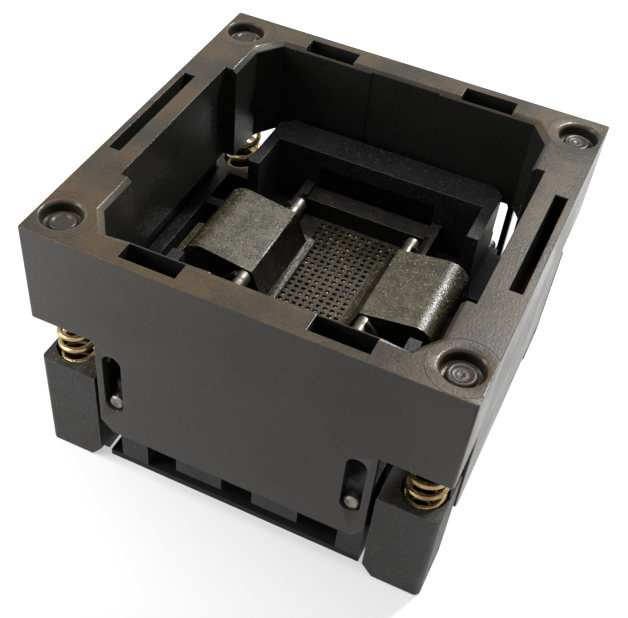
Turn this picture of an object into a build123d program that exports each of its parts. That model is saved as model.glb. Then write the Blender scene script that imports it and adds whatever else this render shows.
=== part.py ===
from build123d import *
import os
from math import cos, radians, sin, tau

# Open top test socket for a small integrated circuit.
# Millimetres, X to the right, Y to the back, Z up.
# The origin is the middle of the underside, which rests on the board.
# Sizes run outward from the contact field, wall by wall, so the cover ends where they add up to.

os.makedirs("parts", exist_ok=True)

# Contact field
contact_pitch = 0.8
contact_columns = 12
contact_rows = 26
cell_x = 0.5
cell_y = 0.4
cell_depth = 1.0
contact_x = 0.3
contact_y = 0.24
contact_below_seat = 0.15

# Contact block
head_margin_x = 2.1
head_margin_y = 0.4
shoulder_width_x = 1.2
shoulder_width_y = 2.5
shoulder_below_seat = 2.9
foot_margin = 0.6
foot_clearance = 0.2
block_gap = 0.1

# Heights of the base
plate_thickness = 0.8
base_height = 12.4
seat_above_base = 1.0
shaft_below_base = 2.4
well_depth = 5.9
tower_rise = 7.8

# Package guide round the contact field
guide_gap = 0.05
guide_rail_drop = 0.1
guide_wall_rise = 2.2
guide_corner_rise = 2.7
guide_corner_length = 3.4
guide_lead_in = 0.7

# Hinge shafts, which also stop the cover at the end of its slots
shaft_diameter = 1.6
shaft_from_block = 4.35
shaft_end_inset = 0.3
running_gap = 0.03

# Latches, measured from the shaft
latch_half_y = 5.3
nose_overhang = 0.8
hub_radius = 2.1
head_inner = (-6.65, 7.95)
head_outer = (1.05, 9.1)
head_shoulder_radius = 2.2
head_edge_radius = 0.3
arm_back = (2.05, 0.6)
arm_front = (-1.95, -0.8)
arm_bend = (-4.05, 4.8)
heel_half_y = 2.5
heel_outline = ((0.75, 4.9), (3.55, 4.4), (3.65, 3.2), (1.95, 0.2), (0.55, 0.2))

# Latch nose, measured from the shaft and up from the seat
nose_rise = 0.3
nose_tip_reach = 8.85
nose_tip_height = 0.5
nose_lip_reach = 8.05
nose_lip_height = 0.95
nose_heel_reach = 5.55
nose_heel_height = 1.2

# Anchor pins of the latch springs, measured from the shaft
pin_diameter = 1.5
pin_reach = 5.9
pin_rise = 7.1
pin_end_gap = 0.1

# Latch springs, wound round the hinge shafts
latch_spring_wire = 0.5
latch_spring_coil_gap = 0.3
latch_spring_first = 300
latch_spring_sweep = 820
latch_spring_steps = 16
latch_spring_side_gap = 0.6
latch_spring_width = 1.4
latch_spring_wall_gap = 0.8
hook_offset = 1.2
hook_gap = 0.12
hook_angles = (40, 95, 140)

# Towers and ears that rise inside the cover's opening
guide_to_tower = 0.15
tower_thickness = 3.95
tower_beyond_shaft = 0.65
tower_corner_cut = 1.2
tower_beam_height = 2.1
tower_recess_half_x = 6.8
tower_recess_depth = 2.4
ear_thickness = 1.3

# Opening through the cover, and the rim round it
latch_room = 3.5
opening_to_tower = 0.45
opening_corner_x = 1.9
opening_corner_y = 2.75
opening_bevel = 0.45
swing_recess_depth = 1.25
swing_recess_spare = 2.25
middle_groove_half_x = 3.8
middle_groove_depth = 0.12
end_rib = 0.2
end_slot_width = 1.95
end_slot_start = 6.05
end_slot_length = 5.5
side_rib = 1.9
side_slot_width = 1.2
side_slot_length = 14.7
side_slot_depth = 9.0
side_slot_wall = 0.7

# Cover band, its corners and the thin flaps that hang from it
cover_stroke = 5.4
pressed_gap = 0.3
band_height = 10.9
cover_corner_radius = 0.7
flap_thickness = 1.0
flap_edge = 0.75
flap_corner_cut = 1.3
flap_board_gap = 0.2
corner_opening = 6.8

# Slots in the flaps that slide on the shaft ends
guide_slot_clearance = 0.4
guide_slot_stop_gap = 0.05
guide_slot_spare = 0.3

# Round hollows that the moulding gates leave on the cover's corners
gate_radius = 1.85
gate_sides = 20
gate_depth = 0.45
gate_inset_x = 2.4
gate_inset_y = 3.25

# Walls and posts of the base
flap_gap_x = 0.15
flap_gap_y = 0.11
side_wall = 1.55
pilaster_depth = 0.53
post_to_flap = 0.5
post_inset = 0.2
post_foot_width = 1.15
post_foot_height = 1.45
slit_width = 0.6
slit_depth = 3.7
core_floor = 3.0
core_from_shaft = 2.45
core_wall = 0.5

# Castellated lower edge of the front and back walls
left_pilaster_inset = 1.4
left_pilaster_width = 3.05
right_pilaster_width = 2.6
tooth_spans = ((-6.35, -1.2), (2.2, 7.2))
window_height = 2.15
tooth_drop = 0.95
window_depth = 2.4
wall_setback = 2.2
side_notch_width = 3.2
side_notch_pitch = 7.4
side_notch_height = 2.95

# Cover springs, each in a pocket of its post
spring_outer_diameter = 4.1
spring_wire = 0.6
spring_turns = 7
spring_steps = 7
spring_pocket_gap = 0.15
spring_pocket_depth = 4.5
spring_wall_x = 0.3
spring_wall_y = 0.9
pocket_sides = 12

# Levels
seat_z = base_height + seat_above_base
shaft_z = base_height - shaft_below_base
well_floor = base_height - well_depth
tower_top = base_height + tower_rise
shoulder_z = seat_z - shoulder_below_seat
band_bottom = base_height + cover_stroke + pressed_gap
socket_height = band_bottom + band_height
flap_bottom = cover_stroke + flap_board_gap
window_top = plate_thickness + window_height
guide_slot_width = shaft_diameter + guide_slot_clearance
guide_slot_low = shaft_z - shaft_diameter / 2 - guide_slot_stop_gap + guide_slot_width / 2
guide_slot_high = guide_slot_low + cover_stroke + guide_slot_spare
spring_seat_z = base_height - spring_pocket_depth

# Widths in X, outward from the middle
head_half_x = contact_columns * contact_pitch / 2 + head_margin_x
block_half_x = head_half_x + shoulder_width_x
shaft_x = block_half_x + shaft_from_block
tower_half_x = shaft_x + tower_beyond_shaft
opening_half_x = shaft_x + latch_room
recess_x = opening_half_x + swing_recess_depth
side_slot_x = recess_x + side_rib
cover_half_x = side_slot_x + side_slot_width + side_slot_wall
wall_outer_x = cover_half_x - flap_thickness - flap_gap_x
wall_inner_x = wall_outer_x - side_wall
flap_half_x = shaft_x + guide_slot_width / 2 + flap_edge
post_inner_x = flap_half_x + post_to_flap
post_outer_x = cover_half_x - post_inset
plate_half_x = post_inner_x - slit_width

# Widths in Y, outward from the middle
head_half_y = contact_rows * contact_pitch / 2 + head_margin_y
block_half_y = head_half_y + shoulder_width_y
spring_inner_y = latch_half_y + latch_spring_side_gap
spring_outer_y = spring_inner_y + latch_spring_width
well_half_y = spring_outer_y + latch_spring_wall_gap
tower_inner_y = block_half_y + guide_to_tower
tower_outer_y = tower_inner_y + tower_thickness
opening_half_y = tower_outer_y + opening_to_tower
end_slot_y = opening_half_y + end_rib
cover_half_y = end_slot_y + end_slot_width + flap_thickness
front_face_y = cover_half_y - flap_thickness - flap_gap_y
base_wall_y = front_face_y - pilaster_depth
flap_half_y = cover_half_y - corner_opening
post_inner_y = flap_half_y + post_to_flap
post_outer_y = cover_half_y - post_inset

# Cover springs follow from the posts
pocket_radius = spring_outer_diameter / 2 + spring_pocket_gap
spring_x = post_outer_x - spring_wall_x - pocket_radius
spring_y = post_outer_y - spring_wall_y - pocket_radius


def block(x_low, x_high, y_low, y_high, z_low, z_high):
    """A box between two corners."""
    size = (x_high - x_low, y_high - y_low, z_high - z_low)
    middle = ((x_low + x_high) / 2, (y_low + y_high) / 2, (z_low + z_high) / 2)
    return Pos(*middle) * Box(*size)


def centred(half_x, half_y, z_low, z_high):
    """A box about the upright axis."""
    return block(-half_x, half_x, -half_y, half_y, z_low, z_high)


def prism_y(outline, y_low, y_high):
    """An outline in X and Z, carried along Y."""
    wire = Polyline(*[(x, y_low, z) for x, z in outline], close=True)
    return extrude(make_face(wire), amount=y_high - y_low, dir=(0, 1, 0))


def prism_x(outline, x_low, x_high):
    """An outline in Y and Z, carried along X."""
    wire = Polyline(*[(x_low, y, z) for y, z in outline], close=True)
    return extrude(make_face(wire), amount=x_high - x_low, dir=(1, 0, 0))


def rod_y(radius, x, z, half_length):
    """A round bar that lies along Y."""
    return Pos(x, 0, z) * Cylinder(radius, 2 * half_length, rotation=(90, 0, 0))


def both_sides(shape):
    """The shape and its mirror image on the left."""
    return [shape, mirror(shape, Plane.YZ)]


def four_ways(shape):
    """The shape in all four quarters."""
    return both_sides(shape) + both_sides(mirror(shape, Plane.XZ))


def front_and_back(shape):
    """The shape and the same one turned half round."""
    return [shape, Rot(0, 0, 180) * shape]


def opening_outline(grow):
    """The cover's opening seen from above, made larger all round by grow."""
    half_x = opening_half_x + grow
    half_y = opening_half_y + grow
    quarter = [(half_x, half_y - opening_corner_y), (half_x - opening_corner_x, half_y)]
    upper = quarter + [(-x, y) for x, y in reversed(quarter)]
    return Polyline(*(upper + [(-x, -y) for x, y in upper]), close=True)


def opening_cut():
    """The opening with its bevelled rim, the swing recesses and the middle grooves."""
    z_low = band_bottom - 1
    straight = make_face(opening_outline(0))
    shape = Pos(0, 0, z_low) * extrude(straight, amount=socket_height - z_low)
    lower = Pos(0, 0, socket_height - opening_bevel) * straight
    upper = Pos(0, 0, socket_height) * make_face(opening_outline(opening_bevel))
    shape += loft([lower, upper], ruled=True)
    recess_half_y = well_half_y + swing_recess_spare
    shape += centred(recess_x, recess_half_y, z_low, socket_height)
    groove_y = opening_half_y + middle_groove_depth
    return shape + centred(middle_groove_half_x, groove_y, z_low, socket_height)


def flap_outline(half_width):
    """A flap seen from its face, with its lower corners cut off."""
    cut = flap_corner_cut
    return (
        (-half_width, band_bottom),
        (half_width, band_bottom),
        (half_width, flap_bottom + cut),
        (half_width - cut, flap_bottom),
        (cut - half_width, flap_bottom),
        (-half_width, flap_bottom + cut),
    )


def guide_slots():
    """The upright slots in the front and back flaps, all cut in one go."""
    radius = guide_slot_width / 2
    reach = cover_half_y + 1
    low_x = shaft_x - radius
    high_x = shaft_x + radius
    slot = block(low_x, high_x, -reach, reach, guide_slot_low, guide_slot_high)
    for z in (guide_slot_low, guide_slot_high):
        slot += rod_y(radius, shaft_x, z, reach)
    return both_sides(slot)


def make_cover():
    """The sliding cover: a thick band with four flaps, all one moulding."""
    band = centred(cover_half_x, cover_half_y, band_bottom, socket_height)
    band = fillet(band.edges().filter_by(Axis.Z), cover_corner_radius)
    for side in (-1, 1):
        low, high = sorted((side * cover_half_y, side * (cover_half_y - flap_thickness)))
        band += prism_y(flap_outline(flap_half_x), low, high)
        low, high = sorted((side * cover_half_x, side * (cover_half_x - flap_thickness)))
        band += prism_x(flap_outline(flap_half_y), low, high)
    band -= opening_cut()
    end_slot_x = end_slot_start + end_slot_length
    end_slot_end = end_slot_y + end_slot_width
    end_slot = block(
        end_slot_start, end_slot_x, end_slot_y, end_slot_end, band_bottom, socket_height
    )
    side_slot = block(
        side_slot_x,
        side_slot_x + side_slot_width,
        -side_slot_length / 2,
        side_slot_length / 2,
        socket_height - side_slot_depth,
        socket_height,
    )
    gate_x = cover_half_x - gate_inset_x
    gate_y = cover_half_y - gate_inset_y
    gate_outline = RegularPolygon(gate_radius, gate_sides)
    gate = Pos(gate_x, gate_y, socket_height - gate_depth) * extrude(gate_outline, amount=gate_depth)
    for cut in four_ways(end_slot) + four_ways(gate) + both_sides(side_slot) + guide_slots():
        band -= cut
    return band


def spring_pocket():
    """The pocket in a post, with many flat sides for a round hole."""
    section = RegularPolygon(pocket_radius, pocket_sides, major_radius=False)
    return Pos(spring_x, spring_y, spring_seat_z) * extrude(section, amount=spring_pocket_depth)


def make_post():
    """One corner post, with its rounded corner and cut away foot."""
    post = block(post_inner_x, post_outer_x, post_inner_y, post_outer_y, 0, base_height)
    outer_edge = post.edges().filter_by(Axis.Z).sort_by(SortBy.DISTANCE)[-1]
    post = fillet(outer_edge, cover_corner_radius)
    foot = (
        (post_inner_x, 0),
        (post_inner_x + post_foot_width, 0),
        (post_inner_x, post_foot_height),
    )
    return post - prism_y(foot, post_inner_y, post_outer_y)


def castellation():
    """What is cut from the front wall's lower edge, and what is added on its face."""
    left_start = left_pilaster_inset - plate_half_x
    left_end = left_start + left_pilaster_width
    right_start = plate_half_x - right_pilaster_width
    window = block(
        left_end,
        right_start,
        -front_face_y,
        window_depth - front_face_y,
        plate_thickness,
        window_top,
    )
    corner = block(
        -plate_half_x,
        left_start,
        -front_face_y,
        wall_setback - base_wall_y,
        plate_thickness,
        base_height,
    )
    added = block(
        left_start, left_end, -front_face_y, -base_wall_y, plate_thickness, base_height
    )
    added += block(
        right_start, plate_half_x, -front_face_y, -base_wall_y, plate_thickness, base_height
    )
    tooth_low = window_top - tooth_drop
    for left, right in tooth_spans:
        added += block(left, right, -front_face_y, -base_wall_y, tooth_low, base_height)
        added += block(left, right, -base_wall_y, 1 - base_wall_y, tooth_low, window_top)
    return window, corner, added


def make_tower():
    """The back tower, a beam over a recess, with its two ears reaching forward."""
    seen_from_above = (
        (-tower_half_x, tower_inner_y),
        (tower_half_x, tower_inner_y),
        (tower_half_x, tower_outer_y - tower_corner_cut),
        (tower_half_x - tower_corner_cut, tower_outer_y),
        (tower_corner_cut - tower_half_x, tower_outer_y),
        (-tower_half_x, tower_outer_y - tower_corner_cut),
    )
    outline = Pos(0, 0, base_height) * make_face(Polyline(*seen_from_above, close=True))
    tower = extrude(outline, amount=tower_rise)
    tower -= block(
        -tower_recess_half_x,
        tower_recess_half_x,
        tower_inner_y,
        tower_inner_y + tower_recess_depth,
        seat_z,
        tower_top - tower_beam_height,
    )
    ear_x = tower_half_x - ear_thickness
    ear = block(ear_x, tower_half_x, well_half_y, tower_inner_y, base_height, tower_top)
    for piece in both_sides(ear):
        tower += piece
    return tower


def make_base():
    """The base moulding: walls, posts, latch wells, towers and ears."""
    body = centred(wall_outer_x, base_wall_y, plate_thickness, base_height)
    for rail in both_sides(
        block(post_inner_x, wall_outer_x, -base_wall_y, base_wall_y, 0, plate_thickness)
    ):
        body += rail
    for post in four_ways(make_post()):
        body += post
    slit = block(
        plate_half_x,
        post_inner_x,
        front_face_y - slit_depth,
        post_outer_y,
        0,
        base_height,
    )
    for cut in four_ways(slit) + four_ways(spring_pocket()):
        body -= cut
    window, corner, added = castellation()
    for cut in front_and_back(window) + front_and_back(corner):
        body -= cut
    for rib in front_and_back(added):
        body += rib
    cavity_x = block_half_x + block_gap
    cavity_y = block_half_y + block_gap
    body -= centred(cavity_x, cavity_y, 0, base_height)
    body -= centred(wall_inner_x, well_half_y, well_floor, base_height)
    core = block(
        shaft_x + core_from_shaft,
        wall_inner_x,
        well_half_y + ear_thickness,
        post_inner_y - core_wall,
        core_floor,
        base_height,
    )
    for cut in four_ways(core):
        body -= cut
    for rise in front_and_back(make_tower()):
        body += rise
    notch = block(
        wall_inner_x,
        wall_outer_x,
        -side_notch_width / 2,
        side_notch_width / 2,
        0,
        side_notch_height,
    )
    for step in (-1, 0, 1):
        for cut in both_sides(Pos(0, step * side_notch_pitch, 0) * notch):
            body -= cut
    for bore in both_sides(rod_y(shaft_diameter / 2, shaft_x, shaft_z, cover_half_y)):
        body -= bore
    return body


def block_foot():
    """Half sizes of the block's foot, which comes down through the bottom plate."""
    foot_x = contact_columns * contact_pitch / 2 + foot_margin
    foot_y = contact_rows * contact_pitch / 2 + foot_margin
    return foot_x, foot_y


def make_bottom_plate():
    """The flat plate that closes the base and holds the contact block in."""
    foot_x, foot_y = block_foot()
    plate = centred(plate_half_x, front_face_y, 0, plate_thickness)
    return plate - centred(foot_x + foot_clearance, foot_y + foot_clearance, 0, plate_thickness)


def contact_places():
    """The middle of every contact cell, row by row."""
    for row in range(contact_rows):
        for column in range(contact_columns):
            x = (column - (contact_columns - 1) / 2) * contact_pitch
            y = (row - (contact_rows - 1) / 2) * contact_pitch
            yield x, y


def make_contact_block():
    """The insulating block with one cell for every contact."""
    foot_x, foot_y = block_foot()
    cell_floor = seat_z - cell_depth
    shape = centred(foot_x, foot_y, 0, plate_thickness)
    shape += centred(block_half_x, block_half_y, plate_thickness, shoulder_z)
    shape += centred(head_half_x, head_half_y, shoulder_z, cell_floor)
    outline = Rectangle(2 * head_half_x, 2 * head_half_y)
    outline -= [Pos(x, y) * Rectangle(cell_x, cell_y) for x, y in contact_places()]
    return shape + Pos(0, 0, cell_floor) * extrude(outline, amount=cell_depth)


def make_contacts():
    """The pointed contact tips that stand in the cells."""
    height = cell_depth - contact_below_seat
    tip = Wedge(contact_x, height, contact_y, contact_x / 2, contact_y / 2, contact_x / 2, contact_y / 2)
    tip = Pos(0, 0, seat_z - cell_depth + height / 2) * Rot(90, 0, 0) * tip
    return Compound([Pos(x, y, 0) * tip for x, y in contact_places()])


def make_package_guide():
    """The frame on the block's shoulder, with end walls and four corner guides."""
    inner_x = head_half_x + guide_gap
    inner_y = head_half_y + guide_gap
    rail_top = seat_z - guide_rail_drop
    wall_top = seat_z + guide_wall_rise
    corner_top = seat_z + guide_corner_rise
    corner_y = head_half_y - guide_corner_length
    frame = centred(block_half_x, block_half_y, shoulder_z, rail_top)
    wall = block(-block_half_x, block_half_x, inner_y, block_half_y, rail_top, wall_top)
    for piece in front_and_back(wall):
        frame += piece
    corner = block(inner_x, block_half_x, corner_y, block_half_y, rail_top, corner_top)
    for piece in four_ways(corner):
        frame += piece
    frame -= centred(inner_x, inner_y, shoulder_z, corner_top)
    slope = (
        (inner_x, corner_top - guide_lead_in),
        (inner_x + guide_lead_in, corner_top),
        (inner_x, corner_top),
    )
    for cut in four_ways(prism_y(slope, corner_y, inner_y)):
        frame -= cut
    return frame


def from_shaft(point):
    """A place given from the right shaft, in the socket's own X and Z."""
    return shaft_x + point[0], shaft_z + point[1]


def make_latch():
    """The right latch: sloping head, long nose, arm, hub and the heel that the cover presses."""
    nose_low = seat_z + nose_rise
    tip_x = shaft_x - nose_tip_reach
    root_x = shaft_x - nose_heel_reach
    lip = (shaft_x - nose_lip_reach, nose_low + nose_lip_height)
    root = (root_x, nose_low + nose_heel_height)
    outline = [from_shaft(p) for p in (head_inner, head_outer, arm_back, arm_front, arm_bend)]
    body = prism_y(outline + [root, lip], -latch_half_y, latch_half_y)
    edges = body.edges().filter_by(Axis.Y)
    top_edge = edges.sort_by(Axis.Z)[-1]
    inner_x, inner_z = from_shaft(head_inner)
    body = fillet(top_edge, head_shoulder_radius)
    edges = body.edges().filter_by(Axis.Y)
    body = fillet(edges.sort_by_distance((inner_x, 0, inner_z))[0], head_edge_radius)
    nose = (
        (tip_x, nose_low),
        (tip_x, nose_low + nose_tip_height),
        lip,
        root,
        (root_x, nose_low),
    )
    nose_half_y = latch_half_y + nose_overhang
    body += prism_y(nose, -nose_half_y, nose_half_y)
    body += rod_y(hub_radius, shaft_x, shaft_z, latch_half_y)
    body += prism_y([from_shaft(p) for p in heel_outline], -heel_half_y, heel_half_y)
    body -= rod_y(shaft_diameter / 2 + running_gap, shaft_x, shaft_z, latch_half_y)
    pin_x, pin_z = from_shaft((-pin_reach, pin_rise))
    return body - rod_y(pin_diameter / 2, pin_x, pin_z, latch_half_y)


def bent_wire(points, thickness):
    """A five sided wire along straight runs, mitred where they meet."""
    path = Polyline(*points)
    start = Plane(origin=path @ 0, z_dir=path % 0)
    section = start * RegularPolygon(thickness / 2, 5)
    return sweep(section, path=path, transition=Transition.RIGHT)


def make_cover_spring(x, y):
    """One compression spring in its pocket, in straight runs, with a closed turn at each end."""
    coil = (spring_outer_diameter - spring_wire) / 2
    open_turns = spring_turns - 2
    spring_length = band_bottom - spring_seat_z
    rise = (spring_length - 3 * spring_wire) / open_turns
    points = []
    for step in range(spring_turns * spring_steps + 1):
        turns = step / spring_steps
        angle = turns * tau
        risen = spring_wire * min(turns, 1)
        risen += rise * min(max(turns - 1, 0), open_turns)
        risen += spring_wire * max(turns - 1 - open_turns, 0)
        z = spring_seat_z + spring_wire / 2 + risen
        points.append((x + coil * cos(angle), y + coil * sin(angle), z))
    return bent_wire(points, spring_wire)


def make_latch_spring():
    """The torsion spring at the back of the right latch, in straight runs.

    One leg stands on the well floor, the other hooks over the anchor pin.
    """
    wire = latch_spring_wire
    coil = shaft_diameter / 2 + latch_spring_coil_gap + wire / 2
    first = radians(latch_spring_first)
    turn = radians(latch_spring_sweep) / latch_spring_steps
    start_x = shaft_x + coil * cos(first)
    start_z = shaft_z + coil * sin(first)
    foot_z = well_floor + wire / 2
    run = (start_z - foot_z) / cos(first)
    points = [(start_x + run * sin(first), spring_outer_y, foot_z)]
    for step in range(latch_spring_steps + 1):
        angle = first + step * turn
        y = spring_outer_y - latch_spring_width * step / latch_spring_steps
        points.append((shaft_x + coil * cos(angle), y, shaft_z + coil * sin(angle)))
    hook = pin_diameter / 2 + wire / 2 + hook_gap
    hook_y = latch_half_y + hook_offset
    pin_x, pin_z = from_shaft((-pin_reach, pin_rise))
    for angle in hook_angles:
        x = pin_x + hook * cos(radians(angle))
        points.append((x, hook_y, pin_z + hook * sin(radians(angle))))
    return bent_wire(points, wire)


def make_socket():
    """Every piece of the socket by its name."""
    pieces = {
        "base": make_base(),
        "cover": make_cover(),
        "bottom_plate": make_bottom_plate(),
        "contact_block": make_contact_block(),
        "contacts": make_contacts(),
        "package_guide": make_package_guide(),
    }
    pin_x, pin_z = from_shaft((-pin_reach, pin_rise))
    paired = {
        "latch": make_latch(),
        "hinge_shaft": rod_y(shaft_diameter / 2, shaft_x, shaft_z, cover_half_y - shaft_end_inset),
        "anchor_pin": rod_y(pin_diameter / 2, pin_x, pin_z, well_half_y - pin_end_gap),
    }
    for name, shape in paired.items():
        pieces[f"{name}_right"], pieces[f"{name}_left"] = both_sides(shape)
    torsion = make_latch_spring()
    half_turn = Rot(0, 0, 180) * torsion
    pieces["latch_spring_back_right"], pieces["latch_spring_back_left"] = both_sides(torsion)
    pieces["latch_spring_front_left"], pieces["latch_spring_front_right"] = both_sides(half_turn)
    for end, y in (("back", spring_y), ("front", -spring_y)):
        for hand, x in (("right", spring_x), ("left", -spring_x)):
            pieces[f"cover_spring_{end}_{hand}"] = make_cover_spring(x, y)
    return pieces


print("cover", 2 * cover_half_x, 2 * cover_half_y, "height", socket_height)
for node, piece in make_socket().items():
    export_step(piece, f"parts/{node}.step")
    print(node, round(piece.volume, 1))
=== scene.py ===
# %% [markdown]
# # An open top test socket
# A square moulded cover floats on four springs over a base. Pressing it swings two latches off a
# field of gold contacts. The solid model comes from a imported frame, and this lesson dresses it:
# soft edges, moulded plastic, wound springs, turned steel rods and the gold tips.

# %% Load the frame
import bpy
import bmesh
from math import copysign, cos, hypot, pi, radians, sin, tau
from mathutils import Matrix, Vector


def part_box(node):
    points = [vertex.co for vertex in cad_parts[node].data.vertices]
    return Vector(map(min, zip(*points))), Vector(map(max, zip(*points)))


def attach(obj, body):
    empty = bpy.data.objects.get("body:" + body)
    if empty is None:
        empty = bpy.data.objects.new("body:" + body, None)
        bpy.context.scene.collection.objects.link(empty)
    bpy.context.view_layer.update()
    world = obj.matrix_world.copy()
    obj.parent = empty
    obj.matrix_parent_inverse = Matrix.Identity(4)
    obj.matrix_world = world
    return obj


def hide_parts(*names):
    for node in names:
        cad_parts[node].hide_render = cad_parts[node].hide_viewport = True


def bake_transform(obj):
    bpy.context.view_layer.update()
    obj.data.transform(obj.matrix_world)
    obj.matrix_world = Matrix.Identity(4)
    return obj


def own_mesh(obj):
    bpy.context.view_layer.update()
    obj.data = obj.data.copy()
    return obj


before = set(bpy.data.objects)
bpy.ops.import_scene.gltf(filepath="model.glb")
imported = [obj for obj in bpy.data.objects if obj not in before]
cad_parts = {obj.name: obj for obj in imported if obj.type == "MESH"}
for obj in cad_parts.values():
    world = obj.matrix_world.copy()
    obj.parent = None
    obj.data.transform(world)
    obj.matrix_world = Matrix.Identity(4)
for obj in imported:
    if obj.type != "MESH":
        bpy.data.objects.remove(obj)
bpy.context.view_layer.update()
mm = 0.001
print("nodes", len(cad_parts))

# %% [markdown]
# ## Camera
# The fitted camera looks down from about 100 mm away. It stands in front and a little to the
# right, so the front right corner is nearest. The place, aim, roll and lens were solved from the
# corners of the cover and the posts. The small shift stands for the crop of the picture.

# %% The camera
camera_place = Vector((26.078, -75.076, 88.890)) * mm
camera_target = Vector((1.515, -12.375, 15.000)) * mm
camera_roll = radians(5.56)

lens = bpy.data.cameras.new("camera")
lens.lens = 60.013
lens.sensor_width = 36
lens.shift_x = 0.04548
lens.shift_y = 0.08878
lens.clip_start = 0.001
camera = bpy.data.objects.new("camera", lens)
bpy.context.scene.collection.objects.link(camera)
aim = (camera_target - camera_place).to_track_quat("-Z", "Y").to_matrix().to_4x4()
camera.matrix_world = Matrix.Translation(camera_place) @ aim @ Matrix.Rotation(camera_roll, 4, "Z")
bpy.context.scene.camera = camera
print("camera stands", round((camera_target - camera_place).length * 1000, 1), "mm away")

# %% [markdown]
# ## Node helpers
# Shader and geometry trees are built from the same three moves: place a node, set its values, and
# join two sockets. Short helpers for them keep the later cells readable.

# %% Helpers for node trees
def put(tree, kind, **settings):
    """Places a node, and sets the properties that are named."""
    node = tree.nodes.new(kind)
    for name, value in settings.items():
        setattr(node, name, value)
    return node


def feed(tree, socket, value):
    """Joins an output to an input socket, or sets the socket's own value."""
    if isinstance(value, bpy.types.NodeSocket):
        tree.links.new(value, socket)
    else:
        socket.default_value = value


def sums(tree, operation, first, second=0.0, third=0.0):
    """One Math node, and its result."""
    node = put(tree, "ShaderNodeMath", operation=operation)
    for socket, value in zip(node.inputs, (first, second, third)):
        feed(tree, socket, value)
    return node.outputs[0]


def remap(tree, value, low, high, to_low=0.0, to_high=1.0):
    """One Map Range node that stays inside its ends."""
    node = put(tree, "ShaderNodeMapRange")
    for socket, given in zip(node.inputs, (value, low, high, to_low, to_high)):
        feed(tree, socket, given)
    return node.outputs[0]


def noise(tree, place, scale, detail, roughness=0.5):
    """One Noise Texture node, and its value."""
    node = put(tree, "ShaderNodeTexNoise")
    feed(tree, node.inputs["Vector"], place)
    feed(tree, node.inputs["Scale"], scale)
    node.inputs["Detail"].default_value = detail
    node.inputs["Roughness"].default_value = roughness
    return node.outputs["Fac"]


def mixed(tree, share, first, second):
    """One Mix node between two colours. The colour sockets share their names with others."""
    node = put(tree, "ShaderNodeMix", data_type="RGBA")
    feed(tree, node.inputs["Factor"], share)
    feed(tree, node.inputs[6], first)
    feed(tree, node.inputs[7], second)
    return node.outputs[2]


def vector(tree, *parts):
    """One Combine XYZ node, and its vector."""
    node = put(tree, "ShaderNodeCombineXYZ")
    for socket, part in zip(node.inputs, parts):
        feed(tree, socket, part)
    return node.outputs[0]


def new_group(name, inputs, outputs, kind="ShaderNodeTree"):
    """A node group with named sockets. Gives the tree, its inputs and its output node."""
    tree = bpy.data.node_groups.new(name, kind)
    for label, socket, value in inputs:
        made = tree.interface.new_socket(label, in_out="INPUT", socket_type="NodeSocket" + socket)
        if value is not None:
            made.default_value = value
    for label, socket in outputs:
        tree.interface.new_socket(label, in_out="OUTPUT", socket_type="NodeSocket" + socket)
    return tree, tree.nodes.new("NodeGroupInput").outputs, tree.nodes.new("NodeGroupOutput").inputs


print("helpers ready")
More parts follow.
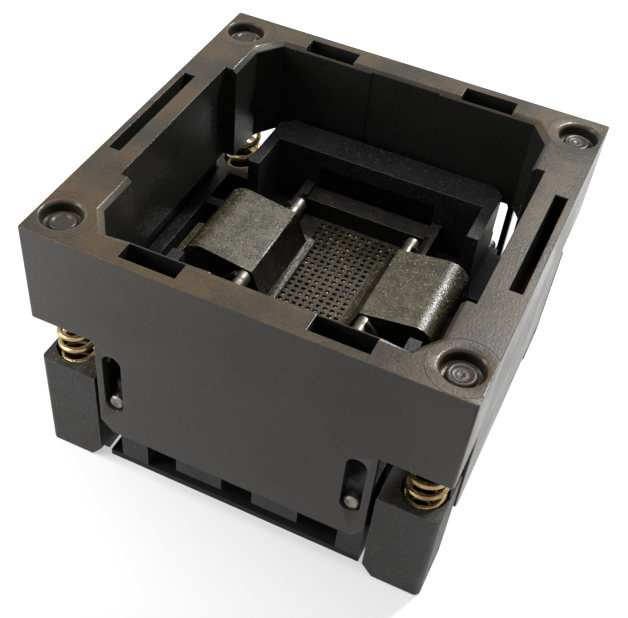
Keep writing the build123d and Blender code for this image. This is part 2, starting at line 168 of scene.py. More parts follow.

# %% [markdown]
# ## The skin of moulded plastic
# The housings are a filled engineering plastic. Its skin is dull, with slow clouds of lighter and
# browner tone, a fine grain, and pale specks where the filler shows. A picture of such a skin could
# be wrapped round each part, but noise that reads the part's own coordinates runs over every edge
# without a seam. The brown clouds are stronger on what faces up. One group makes it, and each
# plastic sets its own amounts. Two masks on the faces change it. One makes the rounded edges paler,
# partly as rubbed wear and partly as a painted highlight. The other is painted shade: it darkens
# the inner walls and the sides of the latches and takes the brown off them.

# %% Group for moulded plastic
def make_plastic_skin():
    """The group for moulded plastic."""
    tree, given, result = new_group(
        "moulded_skin",
        [("Place", "Vector", None), ("Colour", "Color", None), ("Cloud colour", "Color", None),
         ("Clouds", "Float", 0.5), ("Cloud size", "Float", 300.0), ("Grain", "Float", 0.2),
         ("Grain size", "Float", 5000.0), ("Specks", "Float", 0.3), ("Wear", "Float", 0.5),
         ("Clean black", "Float", 0.6), ("Dullness", "Float", 0.5)],
        [("Colour", "Color"), ("Roughness", "Float"), ("Height", "Float")])
    cloud = noise(tree, given["Place"], given["Cloud size"], 5)
    cloudy = remap(tree, cloud, 0.38, 0.62)
    grain = noise(tree, given["Place"], given["Grain size"], 3, 0.7)
    grainy = remap(tree, grain, 0.3, 0.7, -1.0, 1.0)
    speck = noise(tree, given["Place"], sums(tree, "MULTIPLY", given["Grain size"], 0.8), 1)
    specky = sums(tree, "MULTIPLY", remap(tree, speck, 0.6, 0.72), given["Specks"])
    # paler edges: partly rubbed wear, partly a painted highlight on the rounds
    worn = put(tree, "ShaderNodeAttribute", attribute_name="worn").outputs["Fac"]
    rubbed_and_lit = sums(tree, "MULTIPLY", worn, given["Wear"])
    # painted shade: the insides of cover and base and the latch sides are darkened and lose their
    # brown
    sheltered = put(tree, "ShaderNodeAttribute", attribute_name="sheltered").outputs["Fac"]
    shade_depth = sums(tree, "MULTIPLY", sheltered, given["Clean black"])

    # the brown clouds are stronger on faces that point up
    facing = put(tree, "ShaderNodeSeparateXYZ")
    feed(tree, facing.inputs[0], put(tree, "ShaderNodeTexCoord").outputs["Normal"])
    lying = remap(tree, facing.outputs[2], 0.2, 0.9, 0.3, 1.0)
    brown_share = sums(tree, "MULTIPLY_ADD", cloudy, 0.7, 0.3)
    brown_share = sums(tree, "MULTIPLY", brown_share, lying)
    brown_share = sums(tree, "MULTIPLY", brown_share, sums(tree, "SUBTRACT", 1.0, sheltered))
    brown_share = sums(tree, "MULTIPLY", brown_share, given["Clouds"])
    brightness = sums(tree, "MULTIPLY_ADD", grainy, given["Grain"], 1.0)
    brightness = sums(tree, "ADD", brightness, specky)
    brightness = sums(tree, "ADD", brightness, rubbed_and_lit)
    brightness = sums(tree, "MULTIPLY", brightness, sums(tree, "SUBTRACT", 1.0, shade_depth))
    bright = put(tree, "ShaderNodeVectorMath", operation="SCALE")
    feed(tree, bright.inputs[0], mixed(tree, brown_share, given["Colour"], given["Cloud colour"]))
    feed(tree, bright.inputs["Scale"], brightness)
    feed(tree, result["Colour"], bright.outputs[0])

    rough = sums(tree, "MULTIPLY_ADD", cloudy, 0.1, given["Dullness"])
    rough = sums(tree, "MULTIPLY_ADD", grainy, 0.06, rough)
    feed(tree, result["Roughness"], sums(tree, "MULTIPLY_ADD", rubbed_and_lit, -0.15, rough))
    height = sums(tree, "MULTIPLY_ADD", grainy, 0.5, specky)
    feed(tree, result["Height"], sums(tree, "MULTIPLY_ADD", cloudy, 0.4, height))
    return tree


plastic_skin = make_plastic_skin()
print("plastic skin", len(plastic_skin.nodes), "nodes")

# %% [markdown]
# ## The skin of drawn metal
# Rods and springs are drawn through a die. That leaves fine lines along the wire and a little
# staining. Noise that is stretched along one axis gives the lines, and a slower noise the stains.

# %% Group for drawn metal
def make_metal_skin():
    """The group for drawn metal."""
    tree, given, result = new_group(
        "drawn_metal",
        [("Place", "Vector", None), ("Colour", "Color", None), ("Stain", "Color", None),
         ("Stains", "Float", 0.5), ("Stretch", "Vector", (1.0, 0.1, 1.0)),
         ("Line size", "Float", 9000.0), ("Dullness", "Float", 0.3)],
        [("Colour", "Color"), ("Roughness", "Float"), ("Height", "Float")])
    along = put(tree, "ShaderNodeVectorMath", operation="MULTIPLY")
    feed(tree, along.inputs[0], given["Place"])
    feed(tree, along.inputs[1], given["Stretch"])
    line = noise(tree, along.outputs[0], given["Line size"], 3)
    stain = noise(tree, given["Place"], 900, 4)
    stained = sums(tree, "MULTIPLY", remap(tree, stain, 0.42, 0.68), given["Stains"])
    feed(tree, result["Colour"], mixed(tree, stained, given["Colour"], given["Stain"]))
    rough = sums(tree, "MULTIPLY_ADD", stained, 0.25, given["Dullness"])
    lined = remap(tree, line, 0.3, 0.7, -1.0, 1.0)
    feed(tree, result["Roughness"], sums(tree, "MULTIPLY_ADD", lined, 0.08, rough))
    feed(tree, result["Height"], lined)
    return tree


metal_skin = make_metal_skin()
print("metal skin", len(metal_skin.nodes), "nodes")

# %% [markdown]
# ## Materials
# A material here is one Principled shader, the group for its family and a Bump node. The group
# varies colour, roughness and height over the surface. What is the same all over, such as metal or
# not, is set on the shader itself, so an exporter can read it.

# %% A material from a skin
look = "_look"


def finish(name, skin, bump, metallic=0.0, specular=0.5, **amounts):
    """The look of one finish: the skin's amounts, and how deep its bumps are in metres."""
    material = bpy.data.materials.new(name + look)
    material.use_nodes = True
    tree = material.node_tree
    shader = tree.nodes["Principled BSDF"]
    shader.inputs["Metallic"].default_value = metallic
    shader.inputs["Specular IOR Level"].default_value = specular
    place = put(tree, "ShaderNodeTexCoord").outputs["Object"]
    group = put(tree, "ShaderNodeGroup", node_tree=skin)
    feed(tree, group.inputs["Place"], place)
    for label, value in amounts.items():
        group.inputs[label.replace("_", " ")].default_value = value
    tree.links.new(group.outputs["Colour"], shader.inputs["Base Color"])
    tree.links.new(group.outputs["Roughness"], shader.inputs["Roughness"])
    relief = put(tree, "ShaderNodeBump")
    relief.inputs["Distance"].default_value = bump
    tree.links.new(group.outputs["Height"], relief.inputs["Height"])
    tree.links.new(relief.outputs["Normal"], shader.inputs["Normal"])
    return material


cover_plastic = finish(
    "cover_plastic", plastic_skin, 0.000008, specular=0.32, Colour=(0.020, 0.020, 0.019, 1),
    Cloud_colour=(0.074, 0.049, 0.023, 1), Clouds=0.9, Cloud_size=170.0, Grain=0.25,
    Grain_size=4200.0, Specks=0.35, Wear=0.6, Clean_black=0.1, Dullness=0.25)
base_plastic = finish(
    "base_plastic", plastic_skin, 0.00002, specular=0.3, Colour=(0.010, 0.010, 0.011, 1),
    Cloud_colour=(0.048, 0.042, 0.032, 1), Clouds=0.9, Cloud_size=420.0, Grain=0.5,
    Grain_size=4000.0, Specks=2.5, Wear=1.0, Clean_black=0.0, Dullness=0.42)
latch_plastic = finish(
    "latch_plastic", plastic_skin, 0.000012, Colour=(0.027, 0.024, 0.014, 1),
    Cloud_colour=(0.072, 0.061, 0.032, 1), Clouds=0.9, Cloud_size=700.0, Grain=0.9,
    Grain_size=4600.0, Specks=2.2, Wear=1.8, Clean_black=0.85, Dullness=0.22)
block_plastic = finish(
    "block_plastic", plastic_skin, 0.00003, specular=0.3, Colour=(0.009, 0.009, 0.009, 1),
    Cloud_colour=(0.060, 0.049, 0.032, 1), Clouds=0.9, Cloud_size=420.0, Grain=0.7,
    Grain_size=3600.0, Specks=3.0, Wear=0.8, Dullness=0.45)
plate_plastic = finish(
    "base_plastic", plastic_skin, 0.00002, specular=0.25, Colour=(0.007, 0.007, 0.007, 1),
    Cloud_colour=(0.014, 0.013, 0.012, 1), Clouds=0.8, Cloud_size=260.0, Grain=0.3,
    Grain_size=4500.0, Specks=0.5, Wear=0.8, Dullness=0.6)
guide_plastic = finish(
    "guide_plastic", plastic_skin, 0.00002, specular=0.3, Colour=(0.008, 0.008, 0.008, 1),
    Cloud_colour=(0.024, 0.021, 0.017, 1), Clouds=0.9, Cloud_size=500.0, Grain=0.4,
    Grain_size=4200.0, Specks=1.5, Wear=1.5, Dullness=0.42)
shaft_steel = finish(
    "shaft_steel", metal_skin, 0.000004, metallic=1.0, Colour=(0.33, 0.315, 0.28, 1),
    Stain=(0.12, 0.10, 0.08, 1), Stains=0.9, Dullness=0.38)
pin_steel = finish(
    "shaft_steel", metal_skin, 0.000004, metallic=1.0, Colour=(0.20, 0.19, 0.165, 1),
    Stain=(0.07, 0.06, 0.05, 1), Stains=0.9, Dullness=0.36)
spring_brass = finish(
    "spring_brass", metal_skin, 0.000004, metallic=1.0, Colour=(0.46, 0.33, 0.16, 1),
    Stain=(0.16, 0.10, 0.045, 1), Stains=0.8, Dullness=0.26)
spring_steel = finish(
    "spring_steel", metal_skin, 0.000004, metallic=1.0, Colour=(0.12, 0.115, 0.105, 1),
    Stain=(0.05, 0.045, 0.04, 1), Stains=0.6, Dullness=0.35)
contact_gold = finish(
    "contact_gold", metal_skin, 0.000003, metallic=1.0, Colour=(0.83, 0.56, 0.22, 1),
    Stain=(0.32, 0.20, 0.08, 1), Stains=0.8, Dullness=0.28)
print("materials", len(bpy.data.materials))

# %% [markdown]
# ## Housings with soft edges
# A mould never gives a razor edge, and it is the small round along each edge that catches the light
# in a photograph. The solid's mesh is left alone. A copy is merged, its flat areas are joined into
# single faces, and each sharp edge gets a narrow round. The new faces carry a mask, so the plastic
# can be paler there, partly as rubbed wear and partly as a painted highlight. On the base and the
# latches many flat faces have notches. Rounding would fold the triangles of such a face over each
# other, so it is first cut into convex ones.

# %% Shading and softening
merge_distance = 0.001 * mm
flat_within, sharp_above, smooth_below = 0.5, 34, 26


def shaded(shape, degrees):
    """Smooth shading, except over edges that are sharper than the angle."""
    for face in shape.faces:
        face.smooth = True
    for edge in shape.edges:
        edge.smooth = len(edge.link_faces) == 2 and edge.calc_face_angle() < radians(degrees)


def softened(node, body, width, material, first=None, shelter=None, notched=False):
    """A copy of a CAD node with rounded edges, riding on a body in its place.

    first changes the shape beforehand, and shelter gives the painted shade of a face from its
    middle and its normal. notched says that flat faces are cut into convex ones before the edges
    are rounded.
    """
    shape = bmesh.new()
    shape.from_mesh(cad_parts[node].data)
    bmesh.ops.remove_doubles(shape, verts=shape.verts, dist=merge_distance)
    bmesh.ops.dissolve_limit(
        shape, angle_limit=radians(flat_within), verts=shape.verts, edges=shape.edges)
    if first:
        first(shape)
    if notched:
        bmesh.ops.connect_verts_concave(shape, faces=shape.faces)
    edges = [e for e in shape.edges if len(e.link_faces) == 2 and e.is_convex
             and e.calc_face_angle() > radians(sharp_above)]
    area = sum(face.calc_area() for face in shape.faces)
    worn = shape.faces.layers.float.new("worn")
    rounded = bmesh.ops.bevel(
        shape, geom=edges, offset=width, offset_type="OFFSET", segments=2, profile=0.5,
        affect="EDGES", clamp_overlap=False, loop_slide=True)
    # the rounds are marked to be paler: wear and a painted highlight
    for face in rounded["faces"]:
        face[worn] = 1.0
    # each face gets its share of painted shade
    if shelter:
        sheltered = shape.faces.layers.float.new("sheltered")
        for face in shape.faces:
            face[sheltered] = shelter(face.calc_center_median() / mm, face.normal)
    shaded(shape, smooth_below)
    bmesh.ops.triangulate(
        shape, faces=[f for f in shape.faces if len(f.verts) > 4], ngon_method="EAR_CLIP")
    kept = sum(face.calc_area() for face in shape.faces) / area
    mesh = bpy.data.meshes.new(node + "_soft")
    shape.to_mesh(mesh)
    shape.free()
    mesh.materials.append(material)
    piece = bpy.data.objects.new(node + "_soft", mesh)
    bpy.context.scene.collection.objects.link(piece)
    even = piece.modifiers.new("even_shading", "WEIGHTED_NORMAL")
    even.keep_sharp = True
    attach(piece, body)
    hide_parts(node)
    material.name.split(look)[0]
    print(piece.name, len(edges), "edges rounded,", len(mesh.polygons), "faces, area kept",
          round(kept, 3))
    return piece


# %% The front lip of the cover
def square_front_lip(shape):
    """The front wall of the cover has a square inner edge, where the other three have a bevel."""
    top, wall_y, rib_y, bevel, corner_x, slack = 29.0, -17.85, -18.05, 0.45, 14.0, 0.01
    moved = 0
    for vert in shape.verts:
        x, y, z = vert.co / mm
        on_wall = abs(x) < corner_x and wall_y + slack > y > rib_y - slack
        if on_wall and top > z > top - bevel - 2 * slack:
            vert.co.z = top * mm
            moved += 1
    print("front lip", moved, "points raised")


# %% Where shade is painted on the plastic
def inside_cover(spot, normal):
    """Painted shade on the cover's inner walls, and none on its top and outer walls."""
    outer_wall, rim, lying = 20.85, 28.6, 0.5
    within = max(abs(spot.x), abs(spot.y)) < outer_wall
    return 1.0 if within and spot.z < rim and normal.z < lying else 0.0


def inside_base(spot, normal):
    """Painted shade on the whole base, except on the outer walls and tops of its posts."""
    post_inner, outer_wall, lying = 14.6, 19.2, 0.9
    near, far = sorted((abs(spot.x), abs(spot.y)))
    return 0.0 if near > post_inner and (normal.z > lying or far > outer_wall) else 1.0


def under_latch(spot, normal):
    """Painted shade down the sides of a latch, and none where it faces up."""
    lying, fade = 0.88, 0.35
    return min(max((lying - normal.z) / fade, 0.0), 1.0)


# %% The housings
cover_copy = softened(
    "cover", "cover", 0.08 * mm, cover_plastic, first=square_front_lip, shelter=inside_cover)
softened("base", "base", 0.08 * mm, base_plastic, shelter=inside_base, notched=True)
softened("bottom_plate", "base", 0.06 * mm, plate_plastic)
softened("package_guide", "base", 0.08 * mm, guide_plastic, shelter=under_latch)
for side in ("right", "left"):
    softened(f"latch_{side}", f"{side}_latch", 0.10 * mm, latch_plastic,
             shelter=under_latch, notched=True)
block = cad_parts["contact_block"]
for material_slot in block.material_slots:
    material_slot.material = block_plastic
print("contact block keeps its solid,", len(block.data.polygons), "faces")

# %% [markdown]
# ## Turned pieces
# Round things are easiest as a profile that is spun about an axis, as on a lathe. The first and
# last points lie on the axis, so the ends close by themselves.

# %% Spinning a profile
def spun(profile, steps, axis="Z", centre=(0, 0, 0)):
    """A closed mesh from (radius, height) points spun about an axis through the centre."""
    shape = bmesh.new()
    rings = []
    for radius, height in profile:
        ring = []
        for step in range(steps if radius > 0 else 1):
            angle = tau * step / steps
            across, up = radius * cos(angle), radius * sin(angle)
            spot = (across, up, height) if axis == "Z" else (across, height, up)
            ring.append(shape.verts.new(Vector(spot) + Vector(centre)))
        rings.append(ring)
    for low, high in zip(rings, rings[1:]):
        for step in range(steps):
            following = (step + 1) % steps
            corners = [low[step % len(low)], low[following % len(low)],
                       high[following % len(high)], high[step % len(high)]]
            shape.faces.new(list(dict.fromkeys(corners)))
    bmesh.ops.recalc_face_normals(shape, faces=shape.faces)
    return shape


def piece_from(shape, name, material, degrees=40):
    """A finished object from a bmesh, smooth except at its real edges."""
    shaded(shape, degrees)
    mesh = bpy.data.meshes.new(name)
    shape.to_mesh(mesh)
    shape.free()
    mesh.materials.append(material)
    piece = bpy.data.objects.new(name, mesh)
    bpy.context.scene.collection.objects.link(piece)
    return piece


print("lathe ready")

# %% [markdown]
# ## Shafts and pins
# Two ground steel shafts carry the latches, and their ends show in the long slots of the flaps. A
# pin through each latch head holds the ends of the torsion springs. The solids are plain rods, and
# here they get the small chamfer that a cut rod has.

# %% Shafts and pins
def turned_rod(node, body, material, chamfer=0.18 * mm):
    """A rod along Y in the place of a CAD node, with a chamfer at each end."""
    low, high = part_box(node)
    centre = (low + high) / 2
    radius = (high.x - low.x) / 2
    half = (high.y - low.y) / 2
    profile = [(0, -half), (radius - chamfer, -half), (radius, chamfer - half),
               (radius, half - chamfer), (radius - chamfer, half), (0, half)]
    rod = piece_from(spun(profile, 40, "Y", centre), node + "_turned", material, 30)
    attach(rod, body)
    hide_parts(node)
    print(rod.name, "diameter", round(2 * radius / mm, 2), "length", round(2 * half / mm, 2))


for side in ("right", "left"):
    turned_rod(f"hinge_shaft_{side}", "base", shaft_steel)
    turned_rod(f"anchor_pin_{side}", f"{side}_latch", pin_steel)

# %% [markdown]
# ## A helper for Geometry Nodes
# What repeats by a rule is made by Geometry Nodes: the tree says the rule once, and its named
# inputs hold the sizes. The result is turned into a plain mesh, because an exporter drops
# instances.

# %% Running a geometry tree
def grown(name, tree, values, body, carrier=None):
    """Runs a tree on a carrier object and gives a plain mesh piece, riding on a body if named."""
    carrier = carrier or bpy.data.objects.new(name + "_rule", bpy.data.meshes.new(name + "_rule"))
    bpy.context.scene.collection.objects.link(carrier)
    modifier = carrier.modifiers.new("rule", "NODES")
    modifier.node_group = tree
    for item in tree.interface.items_tree:
        if item.in_out == "INPUT" and item.name in values:
            modifier[item.identifier] = values[item.name]
    bpy.context.view_layer.update()
    evaluated = carrier.evaluated_get(bpy.context.evaluated_depsgraph_get())
    mesh = bpy.data.meshes.new_from_object(evaluated)
    mesh.name = name
    piece = bpy.data.objects.new(name, mesh)
    bpy.context.scene.collection.objects.link(piece)
    bpy.data.objects.remove(carrier)
    if body:
        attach(piece, body)
    print(name, len(mesh.polygons), "faces")
    return piece


def ended(tree, geometry, result, material):
    """The end of every tree: smooth shading, real geometry and the material."""
    shade = put(tree, "GeometryNodeSetShadeSmooth")
    feed(tree, shade.inputs["Geometry"], geometry)
    real = put(tree, "GeometryNodeRealizeInstances")
    feed(tree, real.inputs["Geometry"], shade.outputs[0])
    paint = put(tree, "GeometryNodeSetMaterial")
    feed(tree, paint.inputs["Geometry"], real.outputs[0])
    paint.inputs["Material"].default_value = material
    feed(tree, result["Geometry"], paint.outputs[0])


def raised(tree, geometry, height):
    """The geometry, lifted by a height."""
    moved = put(tree, "GeometryNodeTransform")
    feed(tree, moved.inputs["Geometry"], geometry)
    feed(tree, moved.inputs["Translation"], vector(tree, 0.0, 0.0, height))
    return moved.outputs[0]


def grid(tree, width, depth, columns=2, rows=2):
    """A flat grid of points round the Z axis."""
    field = put(tree, "GeometryNodeMeshGrid")
    for label, value in (("Size X", width), ("Size Y", depth),
                         ("Vertices X", columns), ("Vertices Y", rows)):
        feed(tree, field.inputs[label], value)
    return field.outputs["Mesh"]


def round_wire(tree, path, thickness):
    """A round wire along a curve, closed at its ends."""
    section = put(tree, "GeometryNodeCurvePrimitiveCircle")
    section.inputs["Resolution"].default_value = 10
    feed(tree, section.inputs["Radius"], sums(tree, "MULTIPLY", thickness, 0.5))
    wire = put(tree, "GeometryNodeCurveToMesh")
    feed(tree, wire.inputs["Curve"], path)
    feed(tree, wire.inputs["Profile Curve"], section.outputs[0])
    wire.inputs["Fill Caps"].default_value = True
    return wire.outputs[0]


print("geometry helpers ready")

# %% [markdown]
# ## Cover springs
# Four compression springs stand in pockets in the posts and carry the cover. A real one has a
# closed turn at each end that lies flat, and open turns between. A straight line is divided into
# points, and each point's place on the line says its turn, so its angle and height follow from one
# number.

# %% Tree for a compression spring
def make_spring_tree():
    """Four springs at the corners of a rectangle, each with one closed turn at either end."""
    tree, given, result = new_group(
        "compression_springs",
        [("Coil radius", "Float", 1.0), ("Wire", "Float", 0.5), ("Turns", "Float", 7.0),
         ("Bottom", "Float", 0.0), ("Top", "Float", 1.0), ("Spread X", "Float", 1.0),
         ("Spread Y", "Float", 1.0), ("Points", "Int", 200)],
        [("Geometry", "Geometry")], "GeometryNodeTree")
    line = put(tree, "GeometryNodeCurvePrimitiveLine")
    points = put(tree, "GeometryNodeResampleCurve")
    feed(tree, points.inputs["Curve"], line.outputs[0])
    feed(tree, points.inputs["Count"], given["Points"])
    share = put(tree, "GeometryNodeSplineParameter").outputs["Factor"]
    turned = sums(tree, "MULTIPLY", share, given["Turns"])
    open_turns = sums(tree, "SUBTRACT", given["Turns"], 2.0)
    length = sums(tree, "SUBTRACT", given["Top"], given["Bottom"])
    free = sums(tree, "MULTIPLY_ADD", given["Wire"], -3.0, length)
    pitch = sums(tree, "DIVIDE", free, open_turns)
    first = sums(tree, "MINIMUM", turned, 1.0)
    after = sums(tree, "SUBTRACT", turned, 1.0)
    middle = sums(tree, "MINIMUM", sums(tree, "MAXIMUM", after, 0.0), open_turns)
    last = sums(tree, "MAXIMUM", sums(tree, "SUBTRACT", after, open_turns), 0.0)
    closed = sums(tree, "MULTIPLY", sums(tree, "ADD", first, last), given["Wire"])
    height = sums(tree, "MULTIPLY_ADD", middle, pitch, closed)
    height = sums(tree, "ADD", height, given["Bottom"])
    height = sums(tree, "MULTIPLY_ADD", given["Wire"], 0.5, height)
    angle = sums(tree, "MULTIPLY", turned, tau)
    across, along = (sums(tree, "MULTIPLY", sums(tree, wave, angle), given["Coil radius"])
                     for wave in ("COSINE", "SINE"))
    coil = put(tree, "GeometryNodeSetPosition")
    feed(tree, coil.inputs["Geometry"], points.outputs[0])
    feed(tree, coil.inputs["Position"], vector(tree, across, along, height))
    posts = grid(tree, sums(tree, "MULTIPLY", given["Spread X"], 2.0),
                 sums(tree, "MULTIPLY", given["Spread Y"], 2.0))
    four = put(tree, "GeometryNodeInstanceOnPoints")
    feed(tree, four.inputs["Points"], posts)
    feed(tree, four.inputs["Instance"], round_wire(tree, coil.outputs[0], given["Wire"]))
    ended(tree, four.outputs[0], result, spring_brass)
    return tree


# %% The cover springs
spring_nodes = [f"cover_spring_{end}_{side}"
                for end in ("back", "front") for side in ("right", "left")]
spring_low, spring_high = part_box("cover_spring_back_right")
spring_turns, points_a_turn = 7, 28
cover_springs = grown("cover_springs", make_spring_tree(), {
    "Coil radius": 1.75 * mm, "Wire": 0.6 * mm, "Turns": float(spring_turns),
    "Points": spring_turns * points_a_turn + 1, "Bottom": spring_low.z, "Top": spring_high.z,
    "Spread X": 18.3 * mm, "Spread Y": 17.7 * mm}, "base")
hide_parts(*spring_nodes)
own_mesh(cover_springs)
print("spring box", [round(v / mm, 2) for v in (*spring_low, *spring_high)])

# %% [markdown]
# ## Latch springs
# A torsion spring sits round each shaft on both sides of the latch hub. One leg stands on the floor
# of the well, and the other presses on the outer side of the pin in the latch. Its path is worked
# out as points, and a small tree sweeps a round wire along it, so that path and wire can be changed
# apart.

# %% Tree for a bent wire
def make_wire_tree():
    """A wire along each curve that comes in."""
    tree, given, result = new_group(
        "bent_wires", [("Geometry", "Geometry", None), ("Wire", "Float", 0.5)],
        [("Geometry", "Geometry")], "GeometryNodeTree")
    ended(tree, round_wire(tree, given["Geometry"], given["Wire"]), result, spring_steel)
    return tree


def torsion_path():
    """Points of the spring at the back of the right latch, in millimetres."""
    shaft_x, shaft_z, coil, outer_y, width = 12.45, 10.0, 1.35, 7.3, 1.4
    first, sweep, steps = radians(300), radians(820), 64
    start = (shaft_x + coil * cos(first), shaft_z + coil * sin(first))
    foot_z = 6.75
    run = (start[1] - foot_z) / cos(first)
    points = [(start[0] + run * sin(first), outer_y, foot_z)]
    for step in range(steps + 1):
        angle = first + sweep * step / steps
        points.append((shaft_x + coil * cos(angle), outer_y - width * step / steps,
                       shaft_z + coil * sin(angle)))
    pin_x, pin_z, off_pin, leg_y = 6.55, 17.1, 1.05, 6.3
    for angle in (32, 48, 64):
        bend = radians(angle)
        points.append((pin_x + off_pin * cos(bend), leg_y, pin_z + off_pin * sin(bend)))
    return points


def path_carrier(name, paths):
    """A curve object that holds each path as one spline of straight runs."""
    curve = bpy.data.curves.new(name, "CURVE")
    curve.dimensions = "3D"
    for points in paths:
        spline = curve.splines.new("POLY")
        spline.points.add(len(points) - 1)
        for target, spot in zip(spline.points, points):
            target.co = (*spot, 1)
    return bpy.data.objects.new(name, curve)


# %% The latch springs
wire_tree = make_wire_tree()
for side, hand in (("right", 1), ("left", -1)):
    paths = [[(hand * x * mm, end * y * mm, z * mm) for x, y, z in torsion_path()]
             for end in (1, -1)]
    piece = grown(f"latch_springs_{side}", wire_tree, {"Wire": 0.5 * mm}, None,
                  path_carrier(f"latch_spring_{side}_path", paths))
    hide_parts(f"latch_spring_back_{side}", f"latch_spring_front_{side}")
    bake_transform(piece)

# %% [markdown]
# ## Contact tips
# Each cell of the block holds one sprung gold contact, of which only a split tip shows. There are
# 312, so one small tip is made and set at the points of a grid. A seeded random lean makes single
# tips flash as they do on the real block.

# %% Tree for the contact field
def make_contact_tree():
    """A split tip at each point of a grid, each with a lean of its own."""
    base_share, top_share, apart, aside = 0.42, 0.36, 0.44, 0.2
    squeeze, splay = (0.8, 0.75, 1.0), 5
    tree, given, result = new_group(
        "contact_field",
        [("Pitch", "Float", 0.001), ("Columns", "Int", 12), ("Rows", "Int", 26),
         ("Foot", "Float", 0.0), ("Height", "Float", 0.001), ("Length", "Float", 0.0003),
         ("Width", "Float", 0.0002), ("Seed", "Int", 4)],
        [("Geometry", "Geometry")], "GeometryNodeTree")
    columns = sums(tree, "SUBTRACT", given["Columns"], 1.0)
    rows = sums(tree, "SUBTRACT", given["Rows"], 1.0)
    field = grid(tree, sums(tree, "MULTIPLY", columns, given["Pitch"]),
                 sums(tree, "MULTIPLY", rows, given["Pitch"]), given["Columns"], given["Rows"])
    prongs = put(tree, "GeometryNodeJoinGeometry")
    for hand in (1, -1):
        prong = put(tree, "GeometryNodeMeshCone")
        prong.inputs["Vertices"].default_value = 4
        for end, share in (("Bottom", base_share), ("Top", top_share)):
            feed(tree, prong.inputs["Radius " + end],
                 sums(tree, "MULTIPLY", given["Length"], share))
        feed(tree, prong.inputs["Depth"], given["Height"])
        turned = put(tree, "GeometryNodeTransform")
        feed(tree, turned.inputs["Geometry"], prong.outputs["Mesh"])
        turned.inputs["Rotation"].default_value = (0, 0, pi / 4)
        flat = put(tree, "GeometryNodeTransform")
        feed(tree, flat.inputs["Geometry"], turned.outputs[0])
        flat.inputs["Scale"].default_value = squeeze
        feed(tree, flat.inputs["Translation"], vector(
            tree, sums(tree, "MULTIPLY", given["Length"], apart * hand),
            sums(tree, "MULTIPLY", given["Width"], aside)))
        flat.inputs["Rotation"].default_value = (0, radians(-splay * hand), 0)
        tree.links.new(flat.outputs[0], prongs.inputs[0])
    lean = put(tree, "FunctionNodeRandomValue", data_type="FLOAT_VECTOR")
    lean.inputs[0].default_value = (-0.1, -0.05, -0.15)
    lean.inputs[1].default_value = (0.2, 0.3, 0.15)
    feed(tree, lean.inputs["Seed"], given["Seed"])
    tips = put(tree, "GeometryNodeInstanceOnPoints")
    feed(tree, tips.inputs["Points"], raised(tree, field, given["Foot"]))
    feed(tree, tips.inputs["Instance"], prongs.outputs[0])
    feed(tree, tips.inputs["Rotation"], lean.outputs[0])
    ended(tree, tips.outputs[0], result, contact_gold)
    return tree


# %% The contact tips
tip_low, tip_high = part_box("contacts")
contacts = grown("contact_tips", make_contact_tree(), {
    "Pitch": 0.8 * mm, "Columns": 12, "Rows": 26, "Foot": tip_low.z,
    "Height": tip_high.z - tip_low.z, "Length": 0.3 * mm, "Width": 0.24 * mm, "Seed": 4},
    "base")
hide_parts("contacts")

# %% [markdown]
# ## Marks in the cover's corners
# Each corner of the cover has a round hollow with a soft rim, where the mould's gate was cut off. A
# low dimpled boss stands in it, and a fine groove from the mould's insert runs round it. The hollow
# and the groove are taken out of the cover by a boolean with a spun cutter, which is deeper than
# the hollow in the solid. The bosses are the same four times over, so a tree sets one spun boss at
# the four places. The photograph also shows tighter upright corners than the solid has, so their
# points are moved out once the cut is done.

# %% The cutter and the boss
mark_x, mark_y = 18.6, 17.75
cover_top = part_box("cover")[1].z / mm
hollow_profile = [
    (0, -1.3), (1.4, -1.3), (1.62, -1.25), (1.78, -1.12), (1.86, -0.9), (1.875, -0.5),
    (1.88, -0.4), (1.901, -0.27), (1.95, -0.165), (2.03, -0.08), (2.13, -0.027), (2.24, -0.003),
    (2.28, 0.004), (2.28, 0.5), (0, 0.5)]
boss_profile = [
    (0, -1.35), (1.36, -1.35), (1.34, -1.0), (1.28, -0.83), (1.18, -0.74), (1.08, -0.71),
    (0.97, -0.73), (0.87, -0.78), (0.78, -0.84), (0.65, -0.87), (0.45, -0.86), (0.32, -0.84),
    (0.18, -0.90), (0, -0.95)]
groove_radius, groove_half, groove_depth, groove_steps = 3.15, 0.045, 0.03, 96


def groove_cutter():
    """A thin three sided ring whose lower edge makes the groove."""
    ring = bmesh.new()
    section = ((-groove_half, groove_depth), (0, -groove_depth), (groove_half, groove_depth))
    rows = []
    for step in range(groove_steps):
        angle = tau * step / groove_steps
        rows.append([
            ring.verts.new((cos(angle) * (groove_radius + w) * mm,
                            sin(angle) * (groove_radius + w) * mm, z * mm))
            for w, z in section])
    for here, there in zip(rows, rows[1:] + rows[:1]):
        for k in range(3):
            ring.faces.new((here[k], here[(k + 1) % 3], there[(k + 1) % 3], there[k]))
    bmesh.ops.recalc_face_normals(ring, faces=ring.faces)
    return ring


def crisp_corners(shape):
    """Tightens the cover's upright corners, and keeps the width of the soft edge round them."""
    half, solid_radius, seen_radius, slack, soft_edge = 21.0, 0.7, 0.25, 0.01, 0.1
    middle = half - solid_radius
    moved = 0
    for vert in shape.verts:
        across, along = abs(vert.co.x) / mm - middle, abs(vert.co.y) / mm - middle
        reach = hypot(across, along)
        on_corner = solid_radius - soft_edge < reach < solid_radius + slack
        if on_corner and min(across, along) > -slack / 2:
            scale = (reach - solid_radius + seen_radius) / reach
            vert.co.x = copysign((half - seen_radius + across * scale) * mm, vert.co.x)
            vert.co.y = copysign((half - seen_radius + along * scale) * mm, vert.co.y)
            moved += 1
    print("corners", moved, "points moved")


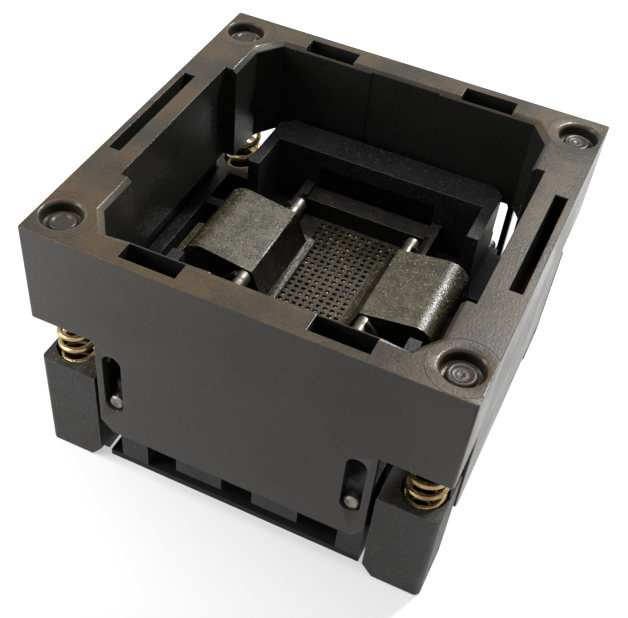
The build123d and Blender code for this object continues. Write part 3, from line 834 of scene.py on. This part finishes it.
def carved(piece, cutters, after):
    """Takes the cutters out of a piece's mesh at the four corners, and then changes the result."""
    tool_shape = bmesh.new()
    for cutter in cutters:
        scrap = bpy.data.meshes.new("scrap")
        cutter.to_mesh(scrap)
        cutter.free()
        for x in (mark_x, -mark_x):
            for y in (mark_y, -mark_y):
                placed = scrap.copy()
                placed.transform(Matrix.Translation(Vector((x, y, cover_top)) * mm))
                tool_shape.from_mesh(placed)
    tool_mesh = bpy.data.meshes.new("corner_tool")
    tool_shape.to_mesh(tool_mesh)
    tool_shape.free()
    tool_mesh.materials.append(piece.data.materials[0])
    tool = bpy.data.objects.new("corner_tool", tool_mesh)
    bpy.context.scene.collection.objects.link(tool)
    cut = piece.modifiers.new("cut", "BOOLEAN")
    cut.operation = "DIFFERENCE"
    cut.solver = "EXACT"
    cut.object = tool
    even = piece.modifiers["even_shading"]
    even.show_viewport = False
    bpy.context.view_layer.update()
    evaluated = piece.evaluated_get(bpy.context.evaluated_depsgraph_get())
    done = bpy.data.meshes.new_from_object(evaluated)
    piece.modifiers.remove(cut)
    even.show_viewport = True
    bpy.data.objects.remove(tool)
    before = len(piece.data.polygons)
    shape = bmesh.new()
    shape.from_mesh(done)
    after(shape)
    shaded(shape, smooth_below)
    shape.to_mesh(piece.data)
    shape.free()
    print(piece.name, before, "faces before and", len(piece.data.polygons), "after the cut")


hollow = spun([(r * mm, z * mm) for r, z in hollow_profile], 48)
# the rim of each hollow is paler: rubbed, and a painted highlight as well
rim = hollow.faces.layers.float.new("worn")
rim_wear_and_highlight, rim_depth = 0.6, 0.45
for face in hollow.faces:
    face[rim] = rim_wear_and_highlight if face.calc_center_median().z > -rim_depth * mm else 0.0
carved(cover_copy, [hollow, groove_cutter()], crisp_corners)
boss_shape = spun([(r * mm, z * mm) for r, z in boss_profile], 40)
boss_source = piece_from(boss_shape, "boss", cover_plastic)


# %% Tree for the four bosses
def make_corner_tree():
    """One boss at each corner of a rectangle, at the height of the cover's top."""
    tree, given, result = new_group(
        "corner_bosses",
        [("Geometry", "Geometry", None), ("Inset X", "Float", 1.0), ("Inset Y", "Float", 1.0),
         ("Top", "Float", 1.0)],
        [("Geometry", "Geometry")], "GeometryNodeTree")
    corners = grid(tree, sums(tree, "MULTIPLY", given["Inset X"], 2.0),
                   sums(tree, "MULTIPLY", given["Inset Y"], 2.0))
    four = put(tree, "GeometryNodeInstanceOnPoints")
    feed(tree, four.inputs["Points"], raised(tree, corners, given["Top"]))
    # the bosses in the hollows get half of the painted shade
    mask = put(tree, "GeometryNodeStoreNamedAttribute", data_type="FLOAT", domain="FACE")
    feed(tree, mask.inputs["Geometry"], given["Geometry"])
    mask.inputs["Name"].default_value = "sheltered"
    mask.inputs["Value"].default_value = 0.5
    feed(tree, four.inputs["Instance"], mask.outputs[0])
    ended(tree, four.outputs[0], result, cover_plastic)
    return tree


# %% The bosses
bpy.context.scene.collection.objects.unlink(boss_source)
grown("corner_bosses", make_corner_tree(), {
    "Inset X": mark_x * mm, "Inset Y": mark_y * mm, "Top": cover_top * mm},
    "cover", boss_source)

# %% [markdown]
# ## Floor and light
# The real photograph was cut out on white. The floor and the world are white to the camera and to
# reflections, while the light that reaches the object stays at a plain level, where a colour comes
# out as it is written. The key lamp hangs above. Small lamps stand low at the front left, at the
# left, and at the back right, where two of them lay a haze on the cover's front right corner.

# %% White to the camera, plain to the object
def seen_directly(tree):
    """1 for camera, mirror and glass rays, and 0 for the light that falls on things."""
    path = put(tree, "ShaderNodeLightPath")
    seen = sums(tree, "MAXIMUM", path.outputs["Is Camera Ray"], path.outputs["Is Glossy Ray"])
    return sums(tree, "MAXIMUM", seen, path.outputs["Is Transmission Ray"])


world = bpy.data.worlds.new("studio")
bpy.context.scene.world = world
world.use_nodes = True
sky = world.node_tree.nodes["Background"]
sky_level = 0.1
sky_tree = world.node_tree
feed(sky_tree, sky.inputs["Strength"],
     sums(sky_tree, "MULTIPLY_ADD", seen_directly(sky_tree), 1 - sky_level, sky_level))
sky.inputs["Color"].default_value = (1, 1, 1, 1)

floor_mesh = bpy.data.meshes.new("floor")
reach, floor_drop, floor_glow = 600 * mm, 0.05 * mm, 0.5
corners = [(-reach, -reach, 0), (reach, -reach, 0), (reach, reach, 0), (-reach, reach, 0)]
floor_mesh.from_pydata(corners, [], [(0, 1, 2, 3)])
floor = bpy.data.objects.new("floor", floor_mesh)
bpy.context.scene.collection.objects.link(floor)
floor.location.z = -floor_drop
floor_white = bpy.data.materials.new("floor_white")
floor_white.use_nodes = True
floor_tree = floor_white.node_tree
shader = floor_tree.nodes["Principled BSDF"]
shader.inputs["Base Color"].default_value = (0.65, 0.65, 0.65, 1)
shader.inputs["Roughness"].default_value = 0.9
shader.inputs["Specular IOR Level"].default_value = 0.0
shader.inputs["Emission Color"].default_value = (1, 1, 1, 1)
feed(floor_tree, shader.inputs["Emission Strength"],
     sums(floor_tree, "MULTIPLY", seen_directly(floor_tree), floor_glow))
floor_mesh.materials.append(floor_white)
print("sky level", sky_level)


# %% Lamps
socket_middle = Vector((0, 0, 15 * mm))


def lamp(name, place, width, height, power):
    """A flat lamp at a place in millimetres, aimed at the middle of the socket."""
    light = bpy.data.lights.new(name, "AREA")
    light.shape = "RECTANGLE"
    light.size = width * mm
    light.size_y = height * mm
    light.energy = power
    stand = bpy.data.objects.new(name, light)
    bpy.context.scene.collection.objects.link(stand)
    spot = Vector(place) * mm
    turn = (socket_middle - spot).to_track_quat("-Z", "Y").to_matrix().to_4x4()
    stand.matrix_world = Matrix.Translation(spot) @ turn
    return stand


lamp("key_lamp", (20, 40, 350), 140, 140, 0.21)
lamp("front_left_lamp", (-70, -50, 40), 40, 40, 0.045)
lamp("back_right_lamp", (100, 195, 270), 45, 45, 0.74)
lamp("back_lamp", (44, 213, 245), 46, 46, 0.36)
lamp("left_lamp", (-200, -33, 240), 35, 35, 0.25)
print("lamps", len(bpy.data.lights))

# %% [markdown]
# ## Finish
# The colours are shown with the Standard view transform.

# %% The view transform
bpy.context.scene.view_settings.view_transform = "Standard"
